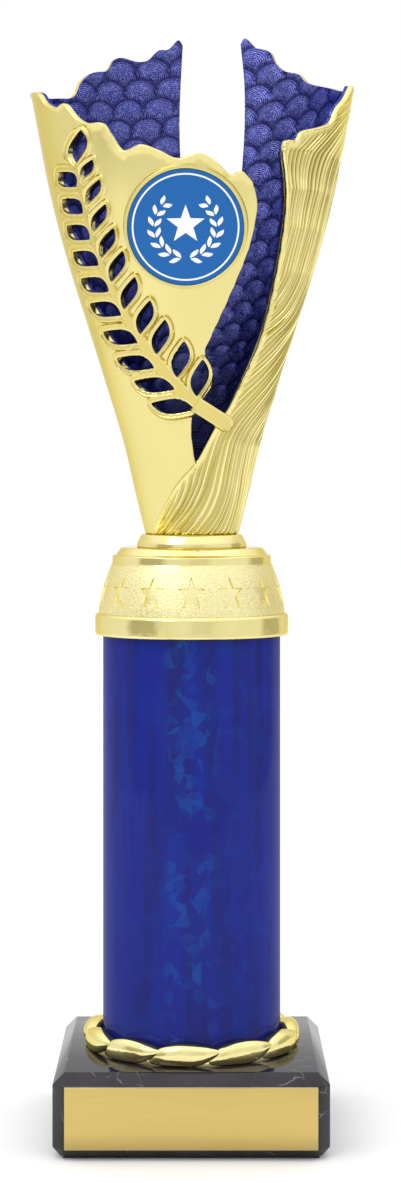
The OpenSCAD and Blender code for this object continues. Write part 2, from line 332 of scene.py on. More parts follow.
def back_line(knots, turn):
    """The same across the back, reached by way of azimuth turn / 2."""
    return front_line(knots) * [-1, 1] + [turn, 0]


def even(ah, step):
    """The same line with evenly spaced points, keeping both ends."""
    s = path_length(on_cup(ah))
    t = np.linspace(0, s[-1], max(2, round(s[-1] / step) + 1))
    return points_of(np.interp(t, s, ah[:, 0]), np.interp(t, s, ah[:, 1]))


def closed(loop, step):
    """Closed loop with evenly spaced points, the first of them again at the end."""
    return even(cat([loop, loop[:1]]), step)


def chain(lines, step):
    """Closed loop through several lines that meet end to end."""
    return cat([even(line, step)[:-1] for line in lines])


def fill(step, h_low, h_high, a_low, a_high):
    """Evenly spaced points over part of the cup, as [azimuth, height]."""
    found = []
    for i, s in enumerate(np.arange(along(h_low), along(h_high), step * 0.866)):
        h = height_at(s)
        gap = step / radius(h)
        found.append(points_of(np.arange(a_low + (i % 2) * gap / 2, a_high, gap), h))
    return cat(found)


def edge_rows(loop, depths):
    """Rows of points just inside a loop, at set distances from it."""
    tree = tree_of(on_cup(loop))
    r = radius(loop[:, 1])
    ahead = (np.roll(loop, -1, 0) - np.roll(loop, 1, 0)) * points_of(r, 1.04)
    ahead /= np.linalg.norm(ahead, axis=1)[:, None]
    area = np.sum(loop[:, 0] * np.roll(loop[:, 1], -1) - np.roll(loop[:, 0], -1) * loop[:, 1])
    inward = points_of(-ahead[:, 1], ahead[:, 0]) * (1 if area > 0 else -1)
    rows = []
    for depth in depths:
        p = loop + depth * inward / points_of(r, 1)
        p = p[p[:, 1] > 0.02]
        p = p[inside(p, loop)]
        rows.append(p[distance(on_cup(p), tree) > 0.85 * depth])
    return cat(rows)


def gap_to(tree, ah):
    """Distance of each point of the cup from a line on it."""
    return distance(on_cup(ah), tree)


def line_tree(line, step):
    return tree_of(on_cup(even(line, step)))


def loop_tree(loop):
    return tree_of(on_cup(closed(loop, 0.12)))


def cup_faces(loops, extra):
    """Triangles over part of the cup, as even as they come."""
    return triangulate([conformal(k) for k in loops], conformal(extra))


def plain_side(loops, edge_tree, a_low, a_high, out):
    """Faces and points of the plain side of a wall of the cup."""
    extra = fill(3.0, 1, cup_top, a_low, a_high)
    extra = extra[within(extra, loops)]
    extra = extra[(gap_to(LEAF_TREE, extra) > 1.2) & (gap_to(edge_tree, extra) > 1.5)]
    return cup_faces(loops, extra), on_cup(cat([*loops, extra]), out)


def leaf(length, width, lean, points=36):
    """Leaf round its own middle, keen at both ends and fuller on one side."""
    q = turns(points)
    t = (1 - np.cos(q)) / 2
    upper = np.where(q < pi, 1, -1) * (1 if lean < 0 else -1)
    side = np.where(q < pi, 0.5, -0.5) * width * np.sin(pi * t) ** 0.8 * (1 - 0.3 * upper * np.cos(pi * t))
    up = length * (t - 0.5)
    c, s = math.cos(math.radians(lean)), math.sin(math.radians(lean))
    return points_of(side * c - up * s, side * s + up * c)


def wreath_leaves():
    """Openings of the wreath, on the cup: one at the tip, and pairs down the stem."""
    leaves = [leaf(7.2, 3.9, -12) + TIP_LEAF]
    for i, (left, right) in enumerate(zip(LEFT_LEAVES, RIGHT_LEAVES)):
        u = i / (len(LEFT_LEAVES) - 1)
        leaves.append(leaf(5.6 + 3.7 * u, 3.5 - 0.1 * u, 49 + 32 * u) + left)
        leaves.append(leaf(4.7 + 3.4 * math.sqrt(u), 2.4 + 1.2 * u, -34 + 25 * u) + right)
    return [front(k) for k in leaves]


# ------ making pieces
def make_piece(name, shape, materials, stands_for, sharp=38, face_material=None, shade=None):
    """Object from points in millimetres and faces, with the given materials, in place of its CAD nodes,
    which it hides.
    """
    points, faces = shape
    mesh = bpy.data.meshes.new(name)
    mesh.from_pydata((points * MM).tolist(), [], [tuple(int(i) for i in f) for f in faces])
    for material in materials:
        mesh.materials.append(material)
    if face_material is not None:
        mesh.polygons.foreach_set("material_index", face_material)
    if shade is not None:
        colour = mesh.color_attributes.new("shade", "FLOAT_COLOR", "POINT")
        colour.data.foreach_set("color", np.pad(shade, ((0, 0), (0, 1)), constant_values=1.0).ravel())
    bm = bmesh.new()
    bm.from_mesh(mesh)
    bmesh.ops.remove_doubles(bm, verts=bm.verts, dist=1e-6)
    bmesh.ops.recalc_face_normals(bm, faces=bm.faces)
    bm.to_mesh(mesh)
    bm.free()
    mesh.shade_smooth()
    mesh.set_sharp_from_angle(angle=math.radians(sharp))
    piece = bpy.data.objects.new(name, mesh)
    scene.collection.objects.link(piece)
    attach(piece, "root")
    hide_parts(*stands_for)


def solid_shell(loops, outer_faces, outer, inner_faces, inner):
    """Closed wall between two surfaces whose points start with the same loops."""
    n = len(outer)
    walls = [(a, b, n + b, n + a) for a, b in loop_edges(loops)]
    faces = [tuple(f) for f in outer_faces] + [tuple(f[::-1] + n) for f in inner_faces] + walls
    return cat([outer, inner]), faces


def shades(count, rest, values, start=0):
    """Shade of each point: some have their own value in the first channel."""
    table = np.full((count, 3), rest)
    table[start:start + len(values), 0] = values
    return table


# ------ materials
class Nodes:
    """A node tree being put together. Sizes in its textures are in millimetres."""

    def __init__(self, tree):
        self.tree = tree

    def node(self, kind, inputs=None, **settings):
        node = self.tree.nodes.new(kind)
        for key, value in settings.items():
            setattr(node, key, value)
        for key, value in (inputs or {}).items():
            if isinstance(value, bpy.types.NodeSocket):
                self.tree.links.new(value, node.inputs[key])
            else:
                node.inputs[key].default_value = value
        return node

    def place(self, scale=(1, 1, 1), turn=(0, 0, 0)):
        """Object coordinates in millimetres, stretched by a scale."""
        where = self.node("ShaderNodeTexCoord").outputs["Object"]
        return self.node("ShaderNodeMapping", {"Vector": where, "Rotation": turn,
                                               "Scale": [s / MM for s in scale]}).outputs[0]

    def split(self, vector):
        return self.node("ShaderNodeSeparateXYZ", {"Vector": vector}).outputs

    def noise(self, size, stretch=(1, 1, 1), detail=3.0, roughness=0.55):
        """Cloudy pattern whose blotches are about so many millimetres across."""
        place = self.place([s / size for s in stretch])
        return self.node("ShaderNodeTexNoise", {"Vector": place, "Scale": 1.0, "Detail": detail,
                                                "Roughness": roughness}).outputs[0]

    def curve_between(self, value, stops):
        """Colours or greys along a value, as [(position, colour)]."""
        node = self.node("ShaderNodeValToRGB", {"Fac": value})
        elements = node.color_ramp.elements
        while len(elements) < len(stops):
            elements.new(0.5)
        for element, (position, colour) in zip(elements, stops):
            element.position = position
            element.color = (*(colour if isinstance(colour, tuple) else (colour,) * 3), 1)
        return node.outputs["Color"]

    def maths(self, operation, a, b=0.0):
        return self.node("ShaderNodeMath", {0: a, 1: b}, operation=operation).outputs[0]

    def times(self, a, b):
        return self.maths("MULTIPLY", a, b)

    def mix(self, factor, a, b):
        a, b = ((*v, 1) if isinstance(v, tuple) else v for v in (a, b))
        return self.node("ShaderNodeMix", {0: factor, 6: a, 7: b}, data_type="RGBA").outputs[2]

    def remap(self, value, first, last, start=0.0, end=1.0):
        """A value between start and end, spread between two numbers."""
        return self.node("ShaderNodeMapRange", {"Value": value, "From Min": start, "From Max": end,
                                                "To Min": first, "To Max": last}).outputs[0]


class Finish(Nodes):
    """A material on one shader."""

    def __init__(self, name, colour, metallic=0.0, roughness=0.5, **sockets):
        self.material = bpy.data.materials.new(name)
        self.material.use_nodes = True
        super().__init__(self.material.node_tree)
        self.shader = self.tree.nodes["Principled BSDF"]
        self.shader.inputs["Base Color"].default_value = (*colour, 1)
        self.shader.inputs["Metallic"].default_value = metallic
        self.shader.inputs["Roughness"].default_value = roughness
        for socket, value in sockets.items():
            self.shader.inputs[socket.replace("_", " ")].default_value = value
        self.material.diffuse_color = (*colour, 1)

    def shade(self, channel):
        """One channel of the piece's shade attribute, which holds painted light and shade on the wave shell
        and the liner, the liner's place in each fan, and the wreath's field on the smooth shell.
        """
        colour = self.node("ShaderNodeVertexColor", layer_name="shade").outputs["Color"]
        return self.node("ShaderNodeSeparateColor", {"Color": colour}).outputs[channel]

    def colour(self, socket):
        self.tree.links.new(socket, self.shader.inputs["Base Color"])

    def rough(self, pattern, least, most):
        """Roughness between two numbers, after a pattern or a noise of some size."""
        pattern = self.noise(pattern) if isinstance(pattern, (int, float)) else pattern
        self.tree.links.new(self.remap(pattern, least, most), self.shader.inputs["Roughness"])

    def relief(self, height, depth, strength):
        """Fine relief of a depth in millimetres from a 0 to 1 height, over any put on before."""
        inputs = {"Height": height, "Distance": depth * MM, "Strength": strength}
        if self.shader.inputs["Normal"].links:
            inputs["Normal"] = self.shader.inputs["Normal"].links[0].from_socket
        self.tree.links.new(self.node("ShaderNodeBump", inputs).outputs[0], self.shader.inputs["Normal"])


LACQUER = {"Coat_Weight": 0.25, "Coat_Roughness": 0.05, "Coat_IOR": 1.5,
           "Specular_Tint": (0.8, 0.68, 0.3, 1)}
PALE = (0.79, 0.71, 0.315)
GOLD = (0.73, 0.64, 0.245)


def mirror_gold():
    """Vacuum-plated plastic under lacquer, a little uneven."""
    m = Finish("mirror_gold", PALE, 1.0, 0.07, **LACQUER)
    m.colour(m.curve_between(m.noise(9, (1, 1, 0.6)), [(0.3, (0.79, 0.69, 0.27)),
                                                       (0.7, (0.87, 0.78, 0.40))]))
    m.rough(2.5, 0.05, 0.12)
    m.relief(m.noise(3.2, (1, 1, 1.4), 2.0), 0.12, 0.6)
    return m.material


def satin_gold(name, wreath):
    """Satin plating with faint upright brush marks, and a grainy, deeper field in the wreath."""
    m = Finish(name, GOLD, 1.0, 0.25, **LACQUER)
    brush = m.noise(2.6, (1, 1, 0.14), 4.0)
    base = m.mix(brush, GOLD, PALE)
    base = m.mix(m.remap(m.noise(14, (1, 1, 0.5)), 0.0, 0.5), base, (0.68, 0.57, 0.19))
    m.relief(brush, 0.04, 0.35)
    if wreath:
        field = m.shade(0)
        base = m.mix(m.times(field, 0.6), base, (0.60, 0.46, 0.10))
        m.relief(m.times(m.noise(0.35, detail=1.0), field), 0.05, 0.6)
    m.colour(base)
    m.rough(brush, 0.16, 0.28)
    return m.material


def wave_gold():
    """Painted light: painted highlights on the crests and painted shade in the olive valleys between them.
    """
    m = Finish("wave_gold", GOLD, 1.0, 0.15, **LACQUER)
    # Painted shade in the valleys at a low shade value, painted highlight on the crests at a high one.
    base = m.curve_between(m.shade(0), [(0.0, (0.46, 0.39, 0.12)), (0.4, (0.76, 0.66, 0.24)),
                                        (0.9, (0.96, 0.89, 0.46))])
    m.colour(m.mix(m.remap(m.noise(6, (1, 1, 0.3)), 0.0, 0.25), base, (0.70, 0.58, 0.18)))
    m.rough(1.5, 0.10, 0.2)
    m.relief(m.noise(0.8, (1, 1, 0.25)), 0.04, 0.35)
    return m.material


def stippled_gold():
    """Band of the cap between the stars."""
    m = Finish("stippled_gold", GOLD, 1.0, 0.34, **LACQUER)
    grain = m.noise(0.32, detail=1.0, roughness=0.6)
    m.colour(m.curve_between(grain, [(0.35, (0.79, 0.69, 0.31)), (0.62, (0.93, 0.86, 0.50))]))
    m.relief(grain, 0.16, 0.9)
    return m.material


def two_tones(name, colour, metallic, roughness, tones, rough, grain, depth, strength, **sockets):
    """Finish of two tones in soft blotches, unevenly rough, with fine relief."""
    m = Finish(name, colour, metallic, roughness, **sockets)
    if tones:
        m.colour(m.mix(m.noise(tones[0]), *tones[1:]))
    m.rough(*rough)
    m.relief(m.noise(*grain), depth, strength)
    return m.material


def liner_blue():
    """Blue plating with painted light: paler where the fans are painted as lit, painted shade in the
    grooves, painted highlights along the fine arcs on each fan, painted glints, and painted shade making it
    nearly black towards the foot.
    """
    m = Finish("liner_blue", (0.06, 0.07, 0.38), 1.0, 0.3, Specular_Tint=(0.4, 0.45, 1.0, 1))
    arcs_per_fan = 9
    lit = m.shade(0)
    arcs = m.maths("SINE", m.times(m.shade(1), 2 * pi * arcs_per_fan))
    arcs = m.remap(m.maths("ADD", m.times(arcs, 0.5), 0.5), 0, 1)
    # Painted light and shade: near black in the grooves between the fans, paler where the fans are painted
    # as lit.
    base = m.curve_between(lit, [(0.0, (0.008, 0.008, 0.06)), (0.35, (0.014, 0.016, 0.13)),
                                 (0.75, (0.020, 0.024, 0.20)), (1.0, (0.05, 0.06, 0.32))])
    # Painted shade: nearly black lower down in the cup.
    painted_depth_shade = m.remap(m.split(m.place())[2], 0.85, 0.0, 165, 216)
    base = m.mix(painted_depth_shade, base, (0.009, 0.010, 0.034))
    lit = m.times(lit, m.maths("SUBTRACT", 1.0, m.times(painted_depth_shade, 0.4)))
    # Painted glints on the fans, where they are painted as lit.
    glint = m.curve_between(m.noise(0.5, detail=2.0), [(0.46, 0.0), (0.66, 1.0)])
    # Painted highlights along the arcs, the ridges of each fan.
    arc_light = m.times(m.maths("POWER", arcs, 2.0), m.remap(lit, 0.15, 1.0))
    base = m.mix(arc_light, base, (0.20, 0.22, 0.62))
    m.colour(m.mix(m.times(m.times(glint, lit), 0.6), base, (0.36, 0.40, 0.70)))
    m.rough(1.1, 0.26, 0.45)
    m.relief(m.times(arcs, lit), 0.10, 0.7)
    m.relief(m.noise(0.4, detail=2.0), 0.10, 0.6)
    return m.material


def foil_blue():
    """Deep blue foil under a clear skin: upright bands, chips of slightly different blues, and a painted
    highlight that makes the chips paler in strips down the front.
    """
    m = Finish("foil_blue", (0.005, 0.012, 0.25), 0.0, 0.4, Coat_Weight=0.25, Coat_Roughness=0.04,
               Coat_IOR=1.45, Specular_IOR_Level=0.0)
    x, y, z = m.split(m.place())
    arc = m.times(m.maths("ARCTAN2", x, m.times(y, -1.0)), column_r)

    def flat(kind, wide, tall, **settings):
        """Texture on the foil laid flat, in cells of a width and a height."""
        vector = m.node("ShaderNodeCombineXYZ", {0: m.times(arc, 1 / wide), 1: m.times(z, 1 / tall)})
        return m.node(kind, {"Vector": vector.outputs[0], "Scale": 1.0}, **settings).outputs

    def tone(wide, tall, channel=0):
        cell = flat("ShaderNodeTexVoronoi", wide, tall, feature="F1")["Color"]
        return m.node("ShaderNodeSeparateColor", {"Color": cell}).outputs[channel]

    def hill(centre, half_width):
        """Hill of height 1 round a place on the foil."""
        t = m.maths("DIVIDE", m.maths("ABSOLUTE", m.maths("SUBTRACT", arc, centre)), half_width)
        return m.maths("MAXIMUM", m.maths("SUBTRACT", 1.0, m.times(t, t)), 0.0)

    bands = flat("ShaderNodeTexNoise", 3.6, 70)[0]
    lines = flat("ShaderNodeTexNoise", 1.1, 90)[0]
    chip = m.times(m.maths("ADD", tone(2.3, 3.4), tone(3.2, 2.6, 1)), 0.5)
    # Painted highlight: strips down the front in which the chips are painted paler.
    front_highlight_zone = m.maths("ADD", hill(-0.5, 7.0), m.times(hill(4.0, 16.0), 0.3))
    chip_highlight = m.times(m.curve_between(chip, [(0.55, 0.0), (0.7, 0.5), (0.9, 1.0)]), front_highlight_zone)
    base = m.curve_between(bands, [(0.38, (0.013, 0.016, 0.145)), (0.6, (0.012, 0.019, 0.225))])
    base = m.mix(m.times(tone(4.6, 6.5, 1), 0.4), base, (0.010, 0.031, 0.26))
    base = m.mix(m.curve_between(lines, [(0.62, 0.0), (0.75, 0.35)]), base, (0.010, 0.012, 0.13))
    m.colour(m.mix(m.times(chip_highlight, 0.38), base, (0.008, 0.085, 0.36)))
    return m.material


def marble():
    """Polished near-black stone with a few thin, wispy veins and small pale flecks."""
    m = Finish("marble", (0.03, 0.026, 0.032), 0.0, 0.12, Specular_IOR_Level=0.0, Coat_Weight=0.70,
               Coat_Roughness=0.06, Coat_IOR=1.55)
    warp = m.noise(16, detail=4.0)
    warp = m.node("ShaderNodeCombineXYZ", {0: warp, 1: m.noise(11, detail=3.0), 2: warp}).outputs[0]
    place = m.node("ShaderNodeMix", {0: 0.32, 4: m.place((0.045, 0.075, 0.06), (0.3, 0.5, 0.7)),
                                     5: warp}, data_type="VECTOR").outputs[1]
    cracks = m.node("ShaderNodeTexVoronoi", {"Vector": place, "Scale": 3.2}, feature="DISTANCE_TO_EDGE")
    patchy = m.curve_between(m.noise(7, detail=2.0), [(0.52, 0.0), (0.70, 1.0)])
    vein = m.times(m.curve_between(cracks.outputs[0], [(0.0, 1.0), (0.016, 0.0)]), patchy)
    fleck = m.curve_between(m.noise(1.1, detail=2.0), [(0.70, 0.0), (0.78, 0.6)])
    cloud = m.curve_between(m.noise(9, detail=5.0), [(0.3, (0.008, 0.006, 0.010)),
                                                     (0.7, (0.026, 0.022, 0.031))])
    base = m.mix(fleck, cloud, (0.16, 0.16, 0.18))
    m.colour(m.mix(m.times(vein, 0.8), base, (0.34, 0.34, 0.37)))
    m.rough(4, 0.03, 0.10)
    m.relief(m.noise(1.6), 0.012, 0.4)
    return m.material


def plate_gold():
    """Anodised engraving sheet, finely brushed from left to right, with painted shade, a dark reflection of
    the floor, along its foot.
    """
    m = Finish("plate_gold", (0.72, 0.54, 0.17), 1.0, 0.36)
    brush = m.noise(0.5, (0.03, 1, 2.2), 3.0)
    # Painted shade: the plate darkens towards its foot.
    foot = m.remap(m.split(m.place())[2], 0.8, 0.0, 2.2, 6.0)
    base = m.mix(m.remap(brush, 0.0, 1.0), (0.61, 0.46, 0.15), (0.69, 0.53, 0.18))
    m.colour(m.mix(foot, base, (0.40, 0.31, 0.12)))
    m.rough(brush, 0.30, 0.42)
    m.relief(brush, 0.02, 0.3)
    return m.material


def print_ink(name, colour):
    return two_tones(name, colour, 0.0, 0.38, None, (1.2, 0.34, 0.44), (0.25, (1, 1, 1), 1.0), 0.01, 0.3,
                     Specular_IOR_Level=0.25)


def steel(name, tone):
    tones = 2.5, (tone * 0.8,) * 3, (tone * 1.1, tone * 1.1, tone * 1.12)
    return two_tones(name, (tone, tone, tone * 1.02), 1.0, 0.3, tones, (1.4, 0.22, 0.42),
                     (0.5, (1, 1, 3)), 0.02, 0.5)


def moulded(name, colour):
    tones = 5, tuple(c * 0.85 for c in colour), tuple(min(1, c * 1.1) for c in colour)
    return two_tones(name, colour, 0.0, 0.42, tones, (0.8, 0.36, 0.52), (0.35, (1, 1, 1), 2.0), 0.03, 0.5)


def felt():
    m = Finish("felt", (0.012, 0.012, 0.013), 0.0, 0.95, Sheen_Weight=0.4)
    fibre = m.noise(0.3, detail=5.0)
    m.colour(m.mix(fibre, (0.006, 0.006, 0.007), (0.035, 0.035, 0.038)))
    m.relief(fibre, 0.25, 0.9)
    return m.material


MIRROR = mirror_gold()
SATIN = satin_gold("satin_gold", True)
HOLDER = satin_gold("holder_gold", False)
WAVE = wave_gold()
STIPPLE = stippled_gold()
STAR = two_tones("star_gold", (0.90, 0.82, 0.42), 1.0, 0.3, (1.5, (0.86, 0.77, 0.36), (0.93, 0.86, 0.48)),
                 (0.8, 0.22, 0.36), (0.9,), 0.05, 0.4, **LACQUER)
LINER = liner_blue()
FOIL = foil_blue()
STONE = marble()
PLATE = plate_gold()
BLUE_INK = print_ink("blue_ink", (0.008, 0.120, 0.40))
WHITE_INK = print_ink("white_ink", (0.88, 0.88, 0.90))
STEEL = steel("zinc_steel", 0.62)


# ------ the cup's loops
rim_step = 0.35
LEAVES = [closed(k, 0.3)[:-1] for k in wreath_leaves()]
LEAF_TREE = tree_of(on_cup(cat([closed(k, 0.1) for k in LEAVES])))
front_rim, slot_left, slot_right, wave_rim, front_seam = (
    front_line(k) for k in (FRONT_RIM, SLOT_LEFT, SLOT_RIGHT, WAVE_RIM, FRONT_SEAM))
back_rim_left, back_slot_left, back_seam_left = (
    back_line(k, -pi) for k in (BACK_RIM_LEFT, BACK_SLOT_LEFT, BACK_SEAM))
back_rim_right, back_slot_right, back_seam_right = (
    back_line(k, pi) for k in (BACK_RIM_RIGHT, BACK_SLOT_RIGHT, BACK_SEAM))
front_rim[0] = back_rim_left[0] = [-pi / 2, 99.55]
wave_rim[-1] = back_rim_right[-1] = [pi / 2, 100.9]
SMOOTH_LOOP = chain([slot_left, front_seam[::-1], np.array([front_seam[0], back_seam_left[0]]),
                     back_seam_left, back_slot_left[::-1], back_rim_left[::-1], front_rim], rim_step)
WAVE_LOOP = chain([front_seam, slot_right, wave_rim, back_rim_right[::-1], back_slot_right[::-1],
                   back_seam_right[::-1], np.array([back_seam_right[0], front_seam[0]])], rim_step)


def smooth_shell():
    """Satin shell with the laurel wreath standing out of it and its leaves cut through."""
    loops = [SMOOTH_LOOP, *LEAVES]
    stem_line = curve(STEM, 12)[::-1]
    stem_tree = line_tree(front_line(STEM), 0.25)
    edge_tree = loop_tree(SMOOTH_LOOP)
    rim_tree = line_tree(cat([back_rim_left[::-1], front_rim[1:]]), 0.15)
    seam_tree = line_tree(front_seam, 0.15)

    def off_wreath(ah, stem_width=0.8):
        return np.minimum(gap_to(LEAF_TREE, ah), gap_to(stem_tree, ah) - stem_width)

    rows = edge_rows(SMOOTH_LOOP, [0.1, 0.22, 0.38, 0.6, 0.85])
    rows = rows[off_wreath(rows) >= 2.0]
    coarse = fill(1.3, 0.6, cup_top, -3.5, 0.75)
    coarse = coarse[inside(coarse, SMOOTH_LOOP)]
    coarse = coarse[(off_wreath(coarse, 0) > 2.6) & (gap_to(edge_tree, coarse) > 1.5)]
    fine = fill(0.21, 20, 92, -1.35, 0.3)
    fine = fine[within(fine, loops)]
    fine = fine[(gap_to(LEAF_TREE, fine) > 0.12) & (gap_to(edge_tree, fine) > 0.13)]
    fine = fine[off_wreath(fine) < 1.9]
    extra = cat([rows, coarse, fine])
    ah = cat([*loops, extra])
    faces = cup_faces(loops, extra)

    d_leaf, d_stem, d_edge, d_rim, d_seam = (
        gap_to(tree, ah) for tree in (LEAF_TREE, stem_tree, edge_tree, rim_tree, seam_tree))
    down = ramp(ah[:, 1], 80, 26)
    across = np.sin(ah[:, 0]) * radius(ah[:, 1])
    left = ramp(across - np.interp(ah[:, 1], stem_line[:, 1], stem_line[:, 0]), 0.5, -1)
    border = np.minimum(d_leaf - 0.95 - (0.75 - 0.4 * down) * left, d_stem - (1.0 + 1.0 * down))
    near = 1 - ramp(border, -0.2, 0.2)
    ridge = bump(border, -0.34, 0.36)
    out = near * (1 + 0.5 * down) * 0.36 + ridge * 0.27 - bump(border, 0.36, 0.24) * 0.05
    out += bump(d_rim, 0.42, 0.5) * 0.24 - round_over(d_leaf, 0.22)
    out -= np.where(d_seam < 0.5, round_over(d_edge, 0.1), round_over(d_edge, 0.36))
    field = near * (1 - ridge * 0.9) * ramp(d_leaf, 0.3, 0.55)
    back_side = plain_side(loops, edge_tree, -3.5, 0.75, -shell_wall)
    shape = solid_shell(loops, faces, on_cup(ah, out), *back_side)
    tab, tab_shade = stem_tab()
    return join(shape, tab), cat([shades(len(shape[0]), 0.0, field), tab_shade])


def stem_tab():
    """Foot of the stem: a round-ended bar over the slot, lying on the wave shell."""
    start, end = np.array(STEM_BAR, float)
    run = end - start
    length = np.linalg.norm(run)
    cap = np.radians(np.arange(-90, 91, 7.5))
    side = np.linspace(0, 1, 24)[1:-1] * length
    outline = cat([points_of(side - 0.2, -stem_half),
                   points_of(length + stem_half * np.cos(cap), stem_half * np.sin(cap)),
                   points_of(side[::-1] - 0.2, stem_half)])
    inner = grid_2d(np.arange(0, length + stem_half, 0.22), np.arange(-stem_half, stem_half, 0.22))
    x, y = inner.T
    gap = stem_half - np.where(x < length, np.abs(y), np.hypot(x - length, y))
    keep = (gap > 0.1) & (x > side[0])
    faces = triangulate([outline], inner[keep])
    d = cat([np.zeros(len(outline)), gap[keep]])
    c, s = run / length
    ah = front(cat([outline, inner[keep]]) @ np.array([[c, s], [-s, c]]) + start)
    top = on_cup(ah, 0.62 + bump(d, 0.35, 0.35) * 0.2 - round_over(d, 0.3))
    shape = solid_shell([outline], faces, top, faces, on_cup(ah, -0.3))
    return shape, shades(len(shape[0]), 0.0, ramp(d, 0.5, 0.8) * 0.8)


# ------ wave shell
# Millimetres from line to line
line_gap = 1.12
# Lean of the lines, sideways per millimetre upwards, at heights above the foot
lean_h = [0, 6, 12, 20, 26, 32, 44, 50, 58, 68, 76, 84, 92, 120]
lean_g = [0.9, 0.5, 0.2, 0.3, 1.1, 1.5, 1.4, 0.8, 0.35, 0.35, 0.9, 2.0, 2.6, 2.8]
flow_h = np.linspace(0, 120, 481)
FLOW = cat([[0], np.cumsum(np.interp(flow_h[1:], lean_h, lean_g) * np.diff(flow_h))])
SPREAD = 0.7 * (np.sqrt(1 + np.interp(flow_h, lean_h, lean_g) ** 2) - 1)
# Lines are laid flat with their heights squashed, so that triangles run along them
squash = np.array([1, 0.25])


def drift(f, h):
    """How far a line strays sideways: a slow wander, and room made where the lines lean."""
    room = np.interp(h, flow_h, SPREAD) * 20 * np.tanh(f / 20)
    return room + 0.55 * np.sin(0.36 * f + 0.09 * h) + 0.25 * np.sin(0.83 * f - 0.11 * h + 1.3)


def to_lines(ah):
    """[azimuth, height] to [place across the lines, height]."""
    target = ah[:, 0] * radius(ah[:, 1]) - np.interp(ah[:, 1], flow_h, FLOW)
    f = target.copy()
    for _ in range(90):
        f += 0.4 * (target - drift(f, ah[:, 1]) - f)
    return points_of(f, ah[:, 1])


def from_lines(fh):
    a = (fh[:, 0] + drift(fh[:, 0], fh[:, 1]) + np.interp(fh[:, 1], flow_h, FLOW)) / radius(fh[:, 1])
    return points_of(a, fh[:, 1])


def wave_shell():
    """Shell combed with raised lines that rise from the foot and sweep round to the rim."""
    edge_tree = loop_tree(WAVE_LOOP)
    loop = to_lines(WAVE_LOOP)
    first = math.floor(loop[:, 0].min() / line_gap) - 1
    last = math.ceil(loop[:, 0].max() / line_gap) + 1
    offsets = np.array([-0.5, -0.26, -0.11, 0.0, 0.11, 0.26])
    across = (np.arange(first, last)[:, None] + offsets).ravel() * line_gap
    stagger = 0.4 * (np.arange(len(across)) % 2)
    grid = cat([points_of(across, h + stagger) for h in np.arange(0.4, cup_top, 0.8)])
    grid = grid[inside(grid * squash, loop * squash)]
    grid = grid[gap_to(edge_tree, from_lines(grid)) > 0.5]
    extra = cat([to_lines(edge_rows(WAVE_LOOP, [0.12, 0.28, 0.46])), grid])
    faces = triangulate([loop * squash], extra * squash)

    ah = cat([WAVE_LOOP, from_lines(extra)])
    d_edge = gap_to(edge_tree, ah)
    d_rim, d_slot, d_back, d_seam = (
        gap_to(line_tree(line, step), ah) for line, step in (
            (cat([wave_rim, back_rim_right[::-1][1:]]), 0.2), (slot_right, 0.15),
            (back_slot_right, 0.2), (front_seam, 0.15)))
    place, h = cat([loop, extra]).T
    index = np.floor(place / line_gap + 0.5)
    away = np.abs(place / line_gap - index)
    strength = 0.78 + 0.22 * np.sin(index * 2.4 + 0.13 * h + 1.7 * np.sin(index * 1.3))
    wide = 0.20 + 0.05 * np.sin(index * 4.1 + 0.07 * h)
    calm = (ramp(d_rim, 0.9, 2.2) * ramp(d_slot, 0.8, 1.3) * ramp(d_back, 0.8, 1.3)
            * ramp(d_seam, 0.6, 1.1))
    crest = np.exp(-((away / wide) ** 2)) * strength * calm
    out = crest * 0.38 - calm * 0.12
    out += bump(d_slot, 0.32, 0.34) * 0.14 + bump(d_slot, 0.98, 0.28) * 0.12
    out += bump(d_rim, 0.4, 0.45) * 0.16 + bump(d_seam, 0.34, 0.44) * 0.34
    out -= np.where(d_seam < 0.5, round_over(d_edge, 0.12), round_over(d_edge, 0.3))
    back_side = plain_side([WAVE_LOOP], edge_tree, -0.6, 3.6, -shell_wall)
    shape = solid_shell([WAVE_LOOP], faces, on_cup(ah, out), *back_side)
    # Painted light kept per point: a painted highlight on each crest, painted shade between the crests, and
    # a plain middle tone near the edges and on the back side.
    return shape, shades(len(shape[0]), 0.6, np.clip(crest + (1 - calm) * 0.62, 0, 1))


# ------ liner
# Fans: how many round the cup, millimetres from row to row, radius and sideways shift in shares of a
# fan's width, rise in millimetres per radian, and what is far from any of them
fan_count = 28
fan_pitch = 4.8
fan_r = 0.57
fan_shift = 0.42
fan_rise = 4.0
far = 9.0


def fan_width(h):
    return (radius(h) - shell_wall - liner_wall) * 2 * pi / fan_count


def fans(ah):
    """How far each point is from the centre of its fan, in shares of the radius, and from the fan below."""
    turn = -ah[:, 0]
    column = turn * fan_count / (2 * pi)
    row = (along(ah[:, 1]) - fan_rise * turn) / fan_pitch
    width = fan_width(ah[:, 1])
    r = width * fan_r
    q, gap = np.full((2, len(ah)), far)
    found = np.zeros(len(ah), bool)
    for step in (-2, -1, 0, 1, 2):
        j = np.floor(row) + step
        best = np.full(len(ah), far)
        holds = np.zeros(len(ah), bool)
        for side in (0, 1):
            i = np.floor(column - fan_shift * j) + side
            dx = (column - fan_shift * j - i) * width
            dy = (row - j) * fan_pitch
            d = np.hypot(dx, dy)
            covers = (d < r) | ((dy < 0) & (np.abs(dx) < r))
            best = np.minimum(best, np.where(covers, d / r, far))
            holds |= covers
            outside = np.where(covers, 0, np.where(dy > 0, d - r, np.abs(dx) - r))
            gap = np.where(found | covers, gap, np.minimum(gap, outside))
        q = np.where(holds & ~found, best, q)
        found |= holds
    return np.clip(q, 0, 1), np.clip(gap, 0, far)


